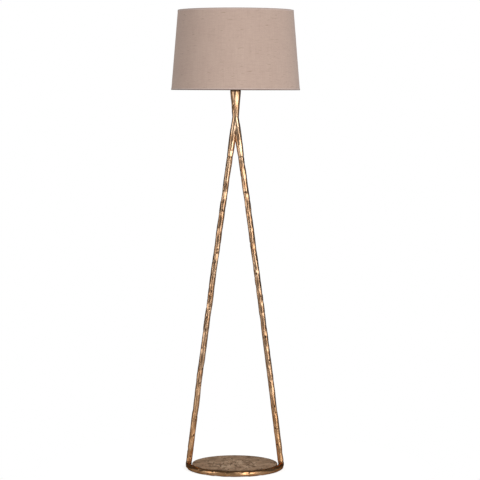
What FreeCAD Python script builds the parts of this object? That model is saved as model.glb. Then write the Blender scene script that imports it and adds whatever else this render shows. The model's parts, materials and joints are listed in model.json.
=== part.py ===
import FreeCAD, Part
import math
import os

os.makedirs("parts", exist_ok=True)
V = FreeCAD.Vector
up = V(0, 0, 1)
back = V(0, 1, 0)

# All sizes are millimetres. The floor is z = 0, +Z is up, and the half hoop faces -Y.

# Fits and gaps
fit = 0.05              # radial play of a spigot, screw or bar in its hole
free_gap = 0.3          # between faces that turn or slide past each other
tool_reach = 2.0        # how far a cutting shape runs past the face it opens
drill_point = 1.0       # how far a screw's hole runs past the screw

# Forged rod of the legs and the hoop
rod_radius = 10.2       # to the corners of the hammered section
rod_wall = 3.45
rod_flats = 8
hammer_depth = 0.07     # share of the radius that the hammered flats sink
hammer_pitch = 36.0     # between two hammered sections
spigot_length = 24.0
spigot_root = 4.0       # of a spigot inside the piece that carries it

# Half hoop and feet
hoop_radius = 163.5
hoop_lift = 0.3         # the hoop stays just off the floor, and the pad carries the lamp
elbow_slack = 0.8       # by which a foot's bend is wider than the rod's radius
elbow_section_count = 4

# Base plate, pad, tabs and their screws
plate_gap = 3.0         # between the plate and the deepest flats of the hoop
plate_thickness = 13.0
plate_chamfer = 1.2
plate_skin = 4.0        # left over a screw's hole
pad_thickness = 3.0
pad_inset = 11.0
pad_notch_gap = 3.0
tab_angles = (-12.0, -90.0, -168.0)
tab_width = 24.0
tab_thickness = 4.0
tab_inset = 34.0        # how far a tab reaches in under the plate
tab_screw_radius = 2.4
tab_head_radius = 4.4
tab_head_lift = 0.8     # of the heads over the floor
tab_slot = 1.0

# Legs and the forked stem
fork_height = 1241.0    # where the two leg lines meet in the neck
stub_length = 141.0     # height of the fork's stubs under that point
stub_bow = 0.75         # how far the stub ends stand out of the straight line to the feet
leg_bow = 2.5
neck_swell = 1.0        # the neck, a stub's root, belly and end over the rod's radius
stub_root_swell = 0.6
stub_belly_swell = 1.3
stub_end_swell = -0.3
neck_depth = 14.0
neck_taper = 0.4
flare_height = 99.0     # of the stem from the neck to its top
flare_radius = 18.9
flare_hollow = 0.55     # how far the flare is drawn in at half height
stem_edge = 0.8

# Lead inside the lamp, and its inlet at the back of the left foot
lead_radius = 2.8
lead_play = 1.7         # in the stem
lead_tube_play = 0.8    # in the threaded tube
lead_side_play = 1.45   # beside the leg's bore where the lead comes in
lead_bends = (8.6, 900.0, 9000.0, 1500.0, 400.0)
inlet_rise = 16.5       # of the inlet over the end of the foot's spigot
grommet_wall = 1.8
grommet_lip_width = 2.0
grommet_lip = 1.8
grommet_round = 0.6
inlet_flat_depth = 1.2  # how far the flat under the lip is cut into the rod
core_radius = 1.0
core_gap = 0.4          # between the two cores
core_spread = 7.0
core_bend = 2.5

# Threaded tube, washer and nut on top of the stem
tube_radius = 5.0
tube_depth = 18.0       # in the stem
tube_stand = 7.0        # above the nut, inside the lampholder
washer_inset = 3.4      # from the stem's rim
washer_thickness = 1.5
nut_flats = 14.0
nut_height = 4.0

# Lampholder
sleeve_radius = 19.6
sleeve_wall = 2.0
sleeve_height = 35.0
sleeve_edge = 1.0
thread_depth = 0.5
thread_pitch = 2.0
cap_height = 24.0
cap_foot_radius = 15.0
cap_wall = 2.0
cap_floor = 5.0
cap_ledge = 2.5         # under the rim of the insert
cap_shoulder_width = 2.4
cap_shoulder_height = 4.0
entry_screw_radius = 1.4
entry_screw_sunk = 0.5
insert_height = 11.0
shell_wall = 0.5
shell_gap = 0.36        # across the slanted thread this leaves the free gap
contact_height = 2.0
contact_width = 5.0
contact_length = 12.0
contact_sheet = 0.6
terminal_radius = 2.0
terminal_height = 2.4
terminal_bite = 5.0
terminal_side = -6.0

# Push bar of the switch
bar_radius = 2.5
bar_side = 8.5          # from the lamp's axis to the bar's
bar_travel = 6.0
knob_radius = 4.5
knob_length = 4.5
knob_round = 1.1
block_half_length = 6.0
block_wall = 0.8

# Bulb with a 27 mm screw cap
bulb_thread_radius = 13.1
bulb_thread_depth = 0.9
bulb_thread_pitch = 3.63
bulb_thread_turns = 5
bulb_radius = 30.0
bulb_height = 104.0
bulb_wall = 0.9
bulb_collar = 0.9       # of the cap's rim over its thread
bulb_collar_height = 1.0
bulb_cap_wall = 0.6
bulb_cap_height = 26.0
bulb_tip_radius = 4.4
bulb_tip_height = 1.2
bulb_insulator_height = 4.0
bulb_shoulder_turn = 40.0
bulb_waist = 1.4        # how far the glass is drawn in over its neck
mount_radius = 3.2
mount_foot = 7.0
mount_height = 54.0     # of the glass mount over the tip
filament_count = 4
filament_radius = 0.8
filament_circle = 9.0
filament_height = 83.0
crown_wire = 1.0

# Shade and its carrier
spider_drop = 36.8      # from the carrier ring down to the lower rim
shade_height = 277.0
shade_bottom_radius = 225.0
shade_top_radius = 202.0
cover_thickness = 0.8
film_gap = 0.2          # of the adhesive film between the cover and its liner
liner_thickness = 0.6
hem_thickness = 0.7
hem_height = 6.0
wire_radius = 1.75
ring_play = 0.6
ring_thickness = 1.6
nut_width = 5.9         # of the ring nut around the sleeve
ring_nut_height = 8.0
grip_count = 24
grip_radius = 1.1
ring_rim = 4.5          # of the carrier ring outside the nut
arm_radius = 2.0
arm_root = 2.0          # how far an arm's end lies on the ring
arm_flat = 32.0         # level part of an arm
arm_bend = 18.0
arm_angles = (90.0, 210.0, 330.0)

# Sizes and heights that follow
rod_bore = rod_radius - rod_wall
hoop_height = hoop_lift + rod_radius
elbow_reach = rod_radius + elbow_slack
plate_radius = hoop_radius - rod_radius + rod_radius * hammer_depth - plate_gap
stem_top = fork_height + flare_height
stem_bore = lead_radius + lead_play
nut_base = stem_top + washer_thickness
cap_base = nut_base + nut_height
bar_height = cap_base + cap_height / 2
shoulder = cap_base + cap_height
insert_top = shoulder + insert_height
insert_radius = sleeve_radius - sleeve_wall - fit
cap_shoulder_radius = sleeve_radius + cap_shoulder_width
bulb_tip = insert_top + contact_height + free_gap
bulb_thread_low = bulb_tip + bulb_tip_height + bulb_insulator_height
bulb_cap_high = bulb_tip + bulb_cap_height
bulb_core_radius = bulb_thread_radius - bulb_thread_depth
bulb_neck_radius = bulb_thread_radius + bulb_collar
spider_base = shoulder + free_gap
ring_nut_outer = sleeve_radius + nut_width
ring_outer = ring_nut_outer + ring_rim
shade_bottom = spider_base - spider_drop
shade_top = shade_bottom + shade_height
liner_outside = hem_thickness + cover_thickness + film_gap

parts = {}


def unit(vector):
    return V(vector).normalize()


def flip(point):
    return V(-point.x, point.y, point.z)


def mirrored(shape):
    return shape.mirror(V(0, 0, 0), V(1, 0, 0))


def about(shape, angle):
    """A copy turned about the lamp's upright axis."""
    copy = shape.copy()
    copy.rotate(V(0, 0, 0), up, angle)
    return copy


def largest(shape):
    return max(shape.Solids, key=lambda solid: solid.Volume)


def rod(start, end, radius):
    return Part.makeCylinder(radius, (end - start).Length, start, end - start)


def post(x, y, low, high, radius):
    return rod(V(x, y, low), V(x, y, high), radius)


def ring(outer, inner, low, high):
    return post(0, 0, low, high, outer).cut(post(0, 0, low - tool_reach, high + tool_reach, inner))


def box(x, y, z):
    """A box from three (low, high) pairs."""
    return Part.makeBox(x[1] - x[0], y[1] - y[0], z[1] - z[0], V(x[0], y[0], z[0]))


def line(start, end):
    return Part.makeLine(start, end)


def arc(start, middle, end):
    return Part.Arc(start, middle, end).toShape()


def swell(start, middle, end):
    """A smooth curve from start to end through a point half way between them."""
    curve = Part.BezierCurve()
    curve.setPoles([start, middle * 2 - (start + end) * 0.5, end])
    return curve.toShape()


def turned_edges(edges):
    """A solid of revolution about Z from a closed outline of edges."""
    return Part.Face(Part.Wire(Part.__sortEdges__(edges))).revolve(V(0, 0, 0), up, 360)


def turned(points):
    """A solid of revolution about Z from (radius, height) corners."""
    corners = [V(radius, 0, height) for radius, height in points]
    return Part.Face(Part.makePolygon(corners + corners[:1])).revolve(V(0, 0, 0), up, 360)


def zigzag(outer, depth, pitch, turns, low):
    """Corners of a thread's outline, drawn as rings."""
    points = []
    for i in range(turns):
        points += [(outer, low + pitch * (i + 0.25)), (outer - depth, low + pitch * (i + 0.75))]
    return points


def bulb_thread():
    return zigzag(bulb_thread_radius, bulb_thread_depth, bulb_thread_pitch,
                  bulb_thread_turns, bulb_thread_low)


def bend(before, corner, after, radius):
    """Start, middle and end of the arc that rounds a corner."""
    a, b = unit(before - corner), unit(after - corner)
    half = a.getAngle(b) / 2
    reach = radius / math.tan(half)
    heart = corner + unit(a + b) * (radius / math.sin(half))
    return corner + a * reach, heart + unit(corner - heart) * radius, corner + b * reach


def smooth_route(points, radii):
    """Straight runs joined by tangent arcs, one radius for each inner point."""
    edges, last = [], points[0]
    for i, radius in enumerate(radii, start=1):
        start, middle, end = bend(points[i - 1], points[i], points[i + 1], radius)
        edges += [line(last, start), arc(start, middle, end)]
        last = end
    return edges + [line(last, points[-1])]


def tube_along(edges, radius):
    start = edges[0].valueAt(edges[0].FirstParameter)
    along = edges[0].tangentAt(edges[0].FirstParameter)
    section = Part.Wire(Part.makeCircle(radius, start, along))
    return Part.Wire(edges).makePipeShell([section], True, False)


def frame(centre, along, side):
    """Centre, side and upper directions of a section square to the rod."""
    along = unit(along)
    side = unit(side - along * side.dot(along))
    return centre, side, along.cross(side)


def frames_along(edge, count, side_at):
    """Sections at count even steps along an edge."""
    first, span = edge.FirstParameter, edge.LastParameter - edge.FirstParameter
    frames = []
    for i in range(count):
        at = first + span * i / (count - 1)
        centre = edge.valueAt(at)
        frames.append(frame(centre, edge.tangentAt(at), side_at(centre)))
    return frames


def hammered(frames, seed):
    """A rod through one many-sided section per frame, with flats that sink and rise along it."""
    wires = []
    for i, (centre, side, over) in enumerate(frames):
        corners = []
        for k in range(rod_flats):
            wave = 0.5 + 0.5 * math.sin(2.3 * i + 1.9 * k * k + seed)
            sink = 0 if i in (0, len(frames) - 1) else wave
            reach = rod_radius * (1 - hammer_depth * sink)
            turn = 2 * math.pi * (k + 0.5) / rod_flats
            corners.append(centre + side * (reach * math.cos(turn)) + over * (reach * math.sin(turn)))
        wires.append(Part.makePolygon(corners + corners[:1]))
    return Part.makeLoft(wires, True, True)


def section_count(edge):
    return int(edge.Length / hammer_pitch) + 1


# Lines of the right foot and leg; the left ones are their mirror image
foot_turn = math.atan(elbow_reach / hoop_radius)
foot_corner = V(hoop_radius / math.cos(foot_turn), 0, hoop_height)
hoop_start = V(hoop_radius * math.cos(foot_turn), -hoop_radius * math.sin(foot_turn), hoop_height)
fork_point = V(0, 0, fork_height)
stub_share = stub_length / (fork_height - hoop_height)
leg_top = V(foot_corner.x * stub_share + stub_bow, 0, fork_height - stub_length)
leg_chord = foot_corner - leg_top
leg_middle = leg_top + leg_chord * 0.5 + unit(V(-leg_chord.z, 0, leg_chord.x)) * leg_bow
leg_curve = Part.Arc(leg_top, leg_middle, foot_corner)
foot_slope = leg_curve.toShape().tangentAt(leg_curve.LastParameter)
leg_foot = foot_corner - foot_slope * elbow_reach
up_the_leg = unit(leg_middle - leg_foot)
down_the_leg = unit(leg_middle - leg_top)


def leg_axis_at(height):
    """A point on the axis of the right leg's bore."""
    top, low = (leg_top, leg_middle) if height > leg_middle.z else (leg_middle, leg_foot)
    return low + (top - low) * ((height - low.z) / (top.z - low.z))


def make_leg(seed):
    """The right leg, a bowed hammered tube."""
    edge = arc(leg_top, leg_middle, leg_foot)
    frames = frames_along(edge, section_count(edge), lambda centre: back)
    frames[0] = frame(leg_top, leg_top - fork_point, back)
    frames[-1] = frame(leg_foot, foot_slope, back)
    bore = [
        rod(leg_middle, leg_top - down_the_leg * tool_reach, rod_bore),
        rod(leg_middle, leg_foot - up_the_leg * tool_reach, rod_bore),
        Part.makeSphere(rod_bore, leg_middle),
    ]
    return hammered(frames, seed).cut(bore)


def make_hoop(seed):
    """The half hoop, with a bent foot and a spigot at each end."""
    half = (leg_foot - foot_corner).getAngle(hoop_start - foot_corner) / 2
    elbow_middle = bend(leg_foot, foot_corner, hoop_start, elbow_reach * math.tan(half))[1]
    right = arc(leg_foot, elbow_middle, hoop_start)
    front = arc(hoop_start, V(0, -hoop_radius, hoop_height), flip(hoop_start))
    left = arc(flip(hoop_start), flip(elbow_middle), flip(leg_foot))
    inward = foot_slope.cross(hoop_start - foot_corner)
    frames = frames_along(right, elbow_section_count, lambda centre: inward)
    frames += frames_along(front, section_count(front), lambda centre: V(-centre.x, -centre.y, 0))[1:]
    frames += frames_along(left, elbow_section_count, lambda centre: flip(inward))[1:]
    spigot_end = leg_foot + up_the_leg * spigot_length
    spigot = rod(leg_foot - up_the_leg * spigot_root, spigot_end, rod_bore - fit)
    return hammered(frames, seed).fuse([spigot, mirrored(spigot)])


def make_base():
    """Half hoop, plate, felt pad, and the tabs and screws that hold the hoop to the plate."""
    hoop = make_hoop(0.4)
    plate = post(0, 0, pad_thickness, pad_thickness + plate_thickness, plate_radius)
    plate = plate.makeChamfer(plate_chamfer, [e for e in plate.Edges if e.Length > plate_radius])
    pad = post(0, 0, 0, pad_thickness, plate_radius - pad_inset)
    tab_in, screw_at = plate_radius - tab_inset, plate_radius - tab_inset / 2
    tab_top = pad_thickness + tab_thickness
    hole_top = pad_thickness + plate_thickness - plate_skin
    half_width = tab_width / 2
    notch_half = half_width + pad_notch_gap
    tabs, screws = [], []
    for angle in tab_angles:
        tab = box((tab_in, hoop_radius), (-half_width, half_width), (pad_thickness, tab_top))
        pocket = box((tab_in - free_gap, hoop_radius), (-half_width - free_gap, half_width + free_gap),
                     (pad_thickness, tab_top))
        notch = box((tab_in - pad_notch_gap, hoop_radius), (-notch_half, notch_half), (0, pad_thickness))
        head = post(screw_at, 0, tab_head_lift, pad_thickness, tab_head_radius)
        shank = post(screw_at, 0, pad_thickness, hole_top - drill_point, tab_screw_radius)
        slot = box((screw_at - tab_head_radius, screw_at + tab_head_radius), (-tab_slot / 2, tab_slot / 2),
                   (tab_head_lift, tab_head_lift + tab_slot))
        plate = plate.cut([about(pocket, angle),
                           about(post(screw_at, 0, tab_top, hole_top, tab_screw_radius + fit), angle)])
        pad = pad.cut(about(notch, angle))
        tab = tab.cut(post(screw_at, 0, pad_thickness, tab_top, tab_screw_radius + free_gap))
        tabs.append(largest(about(tab, angle).cut(hoop)))
        screws.append(about(shank.fuse(head).cut(slot), angle))
    parts["base_hoop"] = hoop
    parts["base_plate"] = plate
    parts["base_pad"] = pad
    parts["hoop_tabs"] = Part.makeCompound(tabs)
    parts["tab_screws"] = Part.makeCompound(screws)


def make_yoke():
    """The flared stem, its neck and the two stubs that carry the legs, bored for the lead."""
    neck, rim = rod_radius + neck_swell, flare_radius - stem_edge
    middle = V((neck + flare_radius) / 2 - flare_hollow, 0, fork_height + flare_height / 2)
    low, side = V(neck - neck_taper, 0, fork_height - neck_depth), V(flare_radius, 0, stem_top - stem_edge)
    flare = turned_edges([
        line(V(0, 0, low.z), low),
        line(low, V(neck, 0, fork_height)),
        swell(V(neck, 0, fork_height), middle, side),
        line(side, V(rim, 0, stem_top)),
        line(V(rim, 0, stem_top), V(0, 0, stem_top)),
        line(V(0, 0, stem_top), V(0, 0, low.z)),
    ])
    run = leg_top - fork_point
    root = V(rod_radius + stub_root_swell, 0, 0)
    belly = V(rod_radius + stub_belly_swell, 0, run.Length / 2)
    end = V(rod_radius + stub_end_swell, 0, run.Length)
    stub = turned_edges([
        line(V(0, 0, 0), root),
        swell(root, belly, end),
        line(end, V(0, 0, end.z)),
        line(V(0, 0, end.z), V(0, 0, 0)),
    ])
    stub.Placement = FreeCAD.Placement(fork_point, FreeCAD.Rotation(up, run))
    spigot_end = leg_top + down_the_leg * spigot_length
    stub = stub.fuse(rod(leg_top - down_the_leg * spigot_root, spigot_end, rod_bore - fit))
    bore = rod(fork_point, leg_top, stem_bore).fuse([
        Part.makeSphere(stem_bore, leg_top),
        rod(leg_top, spigot_end + down_the_leg * tool_reach, stem_bore),
    ])
    thread_low = stem_top - tube_depth
    yoke = flare.fuse([stub, mirrored(stub)])
    return yoke.cut([
        bore,
        mirrored(bore),
        rod(fork_point, V(0, 0, thread_low), stem_bore),
        Part.makeSphere(stem_bore, fork_point),
        post(0, 0, thread_low, stem_top + tool_reach, tube_radius + fit),
    ]).removeSplitter()


def make_inlet(leg):
    """The left leg with its inlet, the rubber grommet, and the middle of the grommet's face."""
    heart = flip(leg_axis_at(leg_foot.z + spigot_length + inlet_rise))
    grommet_radius = lead_radius + grommet_wall
    lip_radius = grommet_radius + grommet_lip_width
    flat = heart + back * (rod_radius - inlet_flat_depth)
    face = flat + back * grommet_lip
    barrel_start = heart + back * (lead_bends[0] - lead_offset + free_gap)
    leg = leg.cut([
        rod(heart, flat, grommet_radius),
        rod(flat, flat + back * rod_radius, lip_radius + free_gap),
    ])
    lip = rod(flat, face, lip_radius)
    halfway = (flat.y + face.y) / 2
    outer_edge = [e for e in lip.Edges if e.Length > lip_radius and e.CenterOfMass.y > halfway]
    grommet = rod(barrel_start, flat, grommet_radius).fuse(lip.makeFillet(grommet_round, outer_edge))
    grommet = grommet.cut(rod(heart, face + back * tool_reach, lead_radius + fit))
    return leg, grommet.removeSplitter(), heart, face


def make_lead():
    """The lead from the grommet up the left leg and through the stem, and its two cores."""
    quarter = inlet.z + (leg_top.z - inlet.z) / 4
    sheath_top = V(0, 0, bar_height)
    route = smooth_route([
        inlet_face,
        inlet - back * lead_offset,
        flip(leg_axis_at(quarter)),
        flip(leg_middle),
        flip(leg_top),
        fork_point,
        sheath_top,
    ], lead_bends)
    parts["inner_lead"] = tube_along(route, lead_radius)
    length = sum(edge.Length for edge in route)
    filled = parts["inner_lead"].Volume / (length * math.pi * lead_radius ** 2)
    print("inner lead: %.0f mm long, volume over section times length %.4f" % (length, filled))
    start, end = V(core_radius + core_gap / 2, 0, sheath_top.z), V(core_spread, 0, shoulder)
    rise = V(0, 0, (end.z - start.z) / 4)
    core = tube_along(smooth_route([start, start + rise, end - rise, end], [core_bend] * 2), core_radius)
    parts["lead_cores"] = Part.makeCompound([core, mirrored(core)])


def make_stem_top():
    """Threaded tube, washer and hexagon nut on the stem."""
    corner = nut_flats / 2 / math.cos(math.pi / 6)
    turns = [math.pi * k / 3 for k in range(7)]
    outline = Part.makePolygon([V(corner * math.cos(t), corner * math.sin(t), nut_base) for t in turns])
    bore = post(0, 0, nut_base - tool_reach, cap_base + tool_reach, tube_radius + fit)
    parts["threaded_tube"] = ring(tube_radius, lead_radius + lead_tube_play,
                                  stem_top - tube_depth, cap_base + tube_stand)
    parts["stem_washer"] = ring(flare_radius - washer_inset, tube_radius + fit, stem_top, nut_base)
    parts["lock_nut"] = Part.Face(outline).extrude(up * nut_height).cut(bore)


def bar_hole():
    reach = cap_shoulder_radius + knob_length
    return rod(V(-reach, bar_side, bar_height), V(reach, bar_side, bar_height), bar_radius + fit)


def make_holder():
    """Cap, entry screw, threaded sleeve, insert and terminal screws of the lampholder."""
    ledge = insert_radius - cap_ledge
    floor_top = cap_base + cap_floor
    shoulder_low = shoulder - cap_shoulder_height
    entry = cap_base + cap_floor / 2
    cap = turned([
        (tube_radius + fit, cap_base),
        (cap_foot_radius, cap_base),
        (cap_shoulder_radius, shoulder_low),
        (cap_shoulder_radius, shoulder),
        (ledge, shoulder),
        (ledge, shoulder_low),
        (cap_foot_radius - cap_wall, floor_top),
        (tube_radius + fit, floor_top),
    ])
    entry_hole = rod(V(0, 0, entry), V(0, -2 * cap_foot_radius, entry), entry_screw_radius + fit)
    parts["holder_cap"] = cap.cut([bar_hole(), entry_hole])
    parts["entry_screw"] = rod(V(0, -tube_radius - fit, entry),
                               V(0, entry_screw_sunk - cap_foot_radius, entry), entry_screw_radius)
    root, inside = sleeve_radius - thread_depth, sleeve_radius - sleeve_wall
    sleeve_top, thread_low = shoulder + sleeve_height, shoulder + ring_thickness + sleeve_edge
    turns = int((sleeve_top - sleeve_edge - thread_low) / thread_pitch)
    thread = zigzag(sleeve_radius, thread_depth, thread_pitch, turns, thread_low)
    parts["holder_sleeve"] = turned(
        [(root, shoulder)] + thread + [(root, sleeve_top), (inside, sleeve_top), (inside, shoulder)])
    shank_radius = terminal_radius / 2
    hole_top = shoulder + terminal_bite + drill_point
    hole = post(core_spread, terminal_side, shoulder, hole_top, shank_radius + fit)
    parts["holder_insert"] = post(0, 0, shoulder, insert_top, insert_radius).cut([hole, mirrored(hole)])
    screw = post(core_spread, terminal_side, shoulder - terminal_height, shoulder, terminal_radius)
    screw = screw.fuse(post(core_spread, terminal_side, shoulder, shoulder + terminal_bite, shank_radius))
    parts["terminal_screws"] = Part.makeCompound([screw, mirrored(screw)])


def make_socket():
    """Screw shell and the sprung centre contact on the insert."""
    inner = [(radius + shell_gap, height) for radius, height in bulb_thread()]
    inner = [(inner[0][0], insert_top)] + inner
    outer = [(radius + shell_wall, height) for radius, height in reversed(inner)]
    parts["screw_shell"] = turned(inner + outer)
    half, top = contact_width / 2, insert_top + contact_height
    left = -contact_length / 2
    parts["centre_contact"] = box((left, -left), (-half, half), (top - contact_sheet, top)).fuse([
        box((left, left + contact_sheet), (-half, half), (insert_top, top)),
        box((left, left + contact_width), (-half, half), (insert_top, insert_top + contact_sheet)),
    ]).removeSplitter()


def make_switch():
    """The push bar with its two knobs, and the block it slides in."""
    reach = bar_radius + block_wall
    block = box((-block_half_length, block_half_length), (bar_side - reach, bar_side + reach),
                (bar_height - reach, shoulder))
    parts["switch_block"] = block.cut(bar_hole())
    near = math.sqrt(cap_shoulder_radius ** 2 - (bar_side - knob_radius) ** 2) + free_gap
    far = near + bar_travel
    bar = rod(V(-far, bar_side, bar_height), V(near, bar_side, bar_height), bar_radius)
    for inner, outer in ((near, near + knob_length), (-far, -far - knob_length)):
        knob = rod(V(inner, bar_side, bar_height), V(outer, bar_side, bar_height), knob_radius)
        halfway = (inner + outer) / 2
        rim = [e for e in knob.Edges
               if e.Length > knob_radius and (e.CenterOfMass.x - halfway) * (outer - inner) > 0
               and abs(e.CenterOfMass.x - halfway) > knob_length / 4]
        bar = bar.fuse(knob.makeFillet(knob_round, rim))
    parts["switch_bar"] = bar.removeSplitter()


def glass_outline(inset):
    """Neck, crown and edges of the glass's outer or inner face."""
    heart = bulb_tip + bulb_height - bulb_radius
    radius, turn = bulb_radius - inset, math.radians(bulb_shoulder_turn)
    swell_start = V(radius * math.cos(turn), 0, heart - radius * math.sin(turn))
    neck = V(bulb_neck_radius - inset, 0, bulb_cap_high)
    waist = (neck + swell_start) * 0.5 - V(bulb_waist, 0, 0)
    crown = V(0, 0, heart + radius)
    return neck, crown, [arc(neck, waist, swell_start), arc(swell_start, V(radius, 0, heart), crown)]


def make_bulb():
    """Cap, insulator, contact, glass, glass mount and filaments of the bulb."""
    inside = bulb_core_radius - bulb_cap_wall
    parts["bulb_cap"] = turned([(bulb_core_radius, bulb_thread_low)] + bulb_thread() + [
        (bulb_neck_radius, bulb_cap_high - bulb_collar_height),
        (bulb_neck_radius, bulb_cap_high),
        (inside, bulb_cap_high),
        (inside, bulb_thread_low),
    ])
    tip_top = bulb_tip + bulb_tip_height
    parts["bulb_insulator"] = turned([
        (0, tip_top),
        (bulb_tip_radius, tip_top),
        (bulb_core_radius, bulb_thread_low),
        (0, bulb_thread_low),
    ])
    parts["bulb_contact"] = post(0, 0, bulb_tip, tip_top, bulb_tip_radius)
    neck, crown, outside = glass_outline(0)
    inner_neck, inner_crown, inner = glass_outline(bulb_wall)
    parts["bulb_glass"] = turned_edges(outside + inner + [line(neck, inner_neck), line(crown, inner_crown)])
    mount_top = bulb_tip + mount_height
    flare = bulb_neck_radius - bulb_wall
    parts["bulb_stem"] = turned([
        (0, bulb_cap_high),
        (flare, bulb_cap_high),
        (mount_radius, bulb_cap_high + mount_foot),
        (mount_radius, mount_top),
        (0, mount_top),
    ])
    crown_low = bulb_tip + filament_height
    collar_top = mount_top - 2 * crown_wire
    collar_low = collar_top - 2 * crown_wire
    foot_circle = mount_radius + crown_wire
    wires = [ring(foot_circle, mount_radius, collar_low, collar_top)]
    for k in range(filament_count):
        turn = 2 * math.pi * (k + 0.5) / filament_count
        outward = V(math.cos(turn), math.sin(turn), 0)
        foot = outward * foot_circle + V(0, 0, collar_top - crown_wire)
        head = outward * filament_circle + V(0, 0, crown_low + crown_wire / 2)
        wires.append(rod(foot, head, filament_radius))
    crown_outer, crown_inner = filament_circle + crown_wire, filament_circle - crown_wire
    crown_ring = ring(crown_outer, crown_inner, crown_low, crown_low + crown_wire)
    parts["bulb_filaments"] = crown_ring.fuse(wires).removeSplitter()


def cone_radius(height, inset):
    """Radius of the shade's wall at a height, moved in by inset."""
    share = (height - shade_bottom) / shade_height
    return shade_bottom_radius + (shade_top_radius - shade_bottom_radius) * share - inset


def cone_wall(low, high, outer, inner):
    return turned([(cone_radius(low, outer), low), (cone_radius(high, outer), high),
                   (cone_radius(high, inner), high), (cone_radius(low, inner), low)])


def make_rim(edge, direction):
    """Wire and wrapped hem of one rim, and the wire's ring radius and height."""
    def level(rise):
        return edge + direction * rise
    inner_wall = liner_outside + liner_thickness
    seat = hem_thickness + wire_radius
    narrowest = min(cone_radius(level(rise), inner_wall) for rise in (hem_thickness, seat + wire_radius))
    wire_ring = narrowest - wire_radius - 1.5 * fit
    inside = wire_ring - wire_radius - fit
    hem = turned([
        (cone_radius(level(0), 0), level(0)),
        (cone_radius(level(hem_height), 0), level(hem_height)),
        (cone_radius(level(hem_height), hem_thickness), level(hem_height)),
        (cone_radius(level(hem_thickness), hem_thickness), level(hem_thickness)),
        (inside, level(hem_thickness)),
        (inside, level(hem_height)),
        (inside - hem_thickness, level(hem_height)),
        (inside - hem_thickness, level(0)),
    ])
    return Part.makeTorus(wire_ring, wire_radius, V(0, 0, level(seat))), hem, wire_ring, level(seat)


def make_shade():
    """Cover, liner, rims, and the ring and arms that carry the shade."""
    low, high = shade_bottom + hem_thickness, shade_top - hem_thickness
    parts["shade_cover"] = cone_wall(low, high, hem_thickness, hem_thickness + cover_thickness)
    parts["shade_liner"] = cone_wall(low, high, liner_outside, liner_outside + liner_thickness)
    wire, hem, wire_ring, wire_height = make_rim(shade_bottom, 1)
    parts["shade_bottom_wire"] = wire
    parts["shade_top_wire"], parts["shade_top_hem"], _, _ = make_rim(shade_top, -1)
    carrier = ring(ring_outer, sleeve_radius + ring_play, spider_base, spider_base + ring_thickness)
    parts["spider_ring"] = carrier
    middle = spider_base + ring_thickness / 2
    route = smooth_route([
        V(ring_outer - arm_root, 0, middle),
        V(ring_outer + arm_flat, 0, middle),
        V(wire_ring, 0, wire_height),
    ], [arm_bend])
    within = post(0, 0, shade_bottom, shade_top, wire_ring)
    for number, angle in enumerate(arm_angles, start=1):
        arm = largest(about(tube_along(route, arm_radius), angle).cut([carrier, wire]).common(within))
        parts["spider_arm_%d" % number] = arm
        hem = hem.cut(arm)
    parts["shade_bottom_hem"] = hem


def make_ring_nut():
    """The gripped nut that clamps the carrier ring on the lampholder's shoulder."""
    low = spider_base + ring_thickness + free_gap
    high = low + ring_nut_height
    groove = post(ring_nut_outer + grip_radius / 2, 0, low, high, grip_radius)
    grips = [about(groove, 360 * k / grip_count) for k in range(grip_count)]
    parts["ring_nut"] = ring(ring_nut_outer, sleeve_radius + free_gap, low, high).cut(grips)


lead_offset = rod_bore - lead_radius - lead_side_play
make_base()
parts["right_leg"] = make_leg(1.1)
parts["left_leg"], parts["cord_grommet"], inlet, inlet_face = make_inlet(mirrored(make_leg(3.7)))
parts["stem_yoke"] = make_yoke()
make_lead()
make_stem_top()
make_holder()
make_socket()
make_switch()
make_bulb()
make_shade()
make_ring_nut()

for name, shape in parts.items():
    solids = shape.Solids
    if not solids or not all(solid.isValid() for solid in solids):
        raise ValueError("not a sound solid: " + name)
    shape = solids[0] if len(solids) == 1 else Part.makeCompound(solids)
    shape.exportStep("parts/%s.step" % name)
    print("%-18s %2d solid %10.1f mm3" % (name, len(solids), shape.Volume))
print("%d parts, lamp height %.1f mm" % (len(parts), shade_top))
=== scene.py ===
import json
import math
import random
import bmesh
import bpy
from mathutils import Matrix, Vector, noise


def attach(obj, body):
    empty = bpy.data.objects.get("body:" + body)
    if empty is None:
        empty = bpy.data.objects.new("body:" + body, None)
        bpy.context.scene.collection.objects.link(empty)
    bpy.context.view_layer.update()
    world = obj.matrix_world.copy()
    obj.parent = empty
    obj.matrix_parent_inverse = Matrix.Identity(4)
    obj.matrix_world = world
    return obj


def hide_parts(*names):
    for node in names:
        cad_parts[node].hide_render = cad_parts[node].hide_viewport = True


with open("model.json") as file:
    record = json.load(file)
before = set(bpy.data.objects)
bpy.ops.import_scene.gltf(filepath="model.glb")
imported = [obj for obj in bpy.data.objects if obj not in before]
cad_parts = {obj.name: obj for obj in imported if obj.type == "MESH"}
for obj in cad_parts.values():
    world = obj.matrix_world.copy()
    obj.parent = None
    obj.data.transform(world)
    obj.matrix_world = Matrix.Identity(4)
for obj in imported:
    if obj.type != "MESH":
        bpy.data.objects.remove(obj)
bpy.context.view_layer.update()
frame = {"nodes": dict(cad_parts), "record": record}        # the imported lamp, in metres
scene = bpy.context.scene
scene.view_settings.view_transform = "Standard"
mm = 0.001
front = Vector((0, -1, 0))
upward = Vector((0, 0, 1))
print("frame loaded,", len(frame["nodes"]), "nodes")


# small tools

def toLinear(hexText):
    parts = [int(hexText[i:i + 2], 16) / 255 for i in (1, 3, 5)]
    return [c / 12.92 if c <= 0.04045 else ((c + 0.055) / 1.055) ** 2.4 for c in parts] + [1.0]


def perSize(millimetres):
    # texture scale that makes one cell this large
    return 1000 / millimetres


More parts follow.
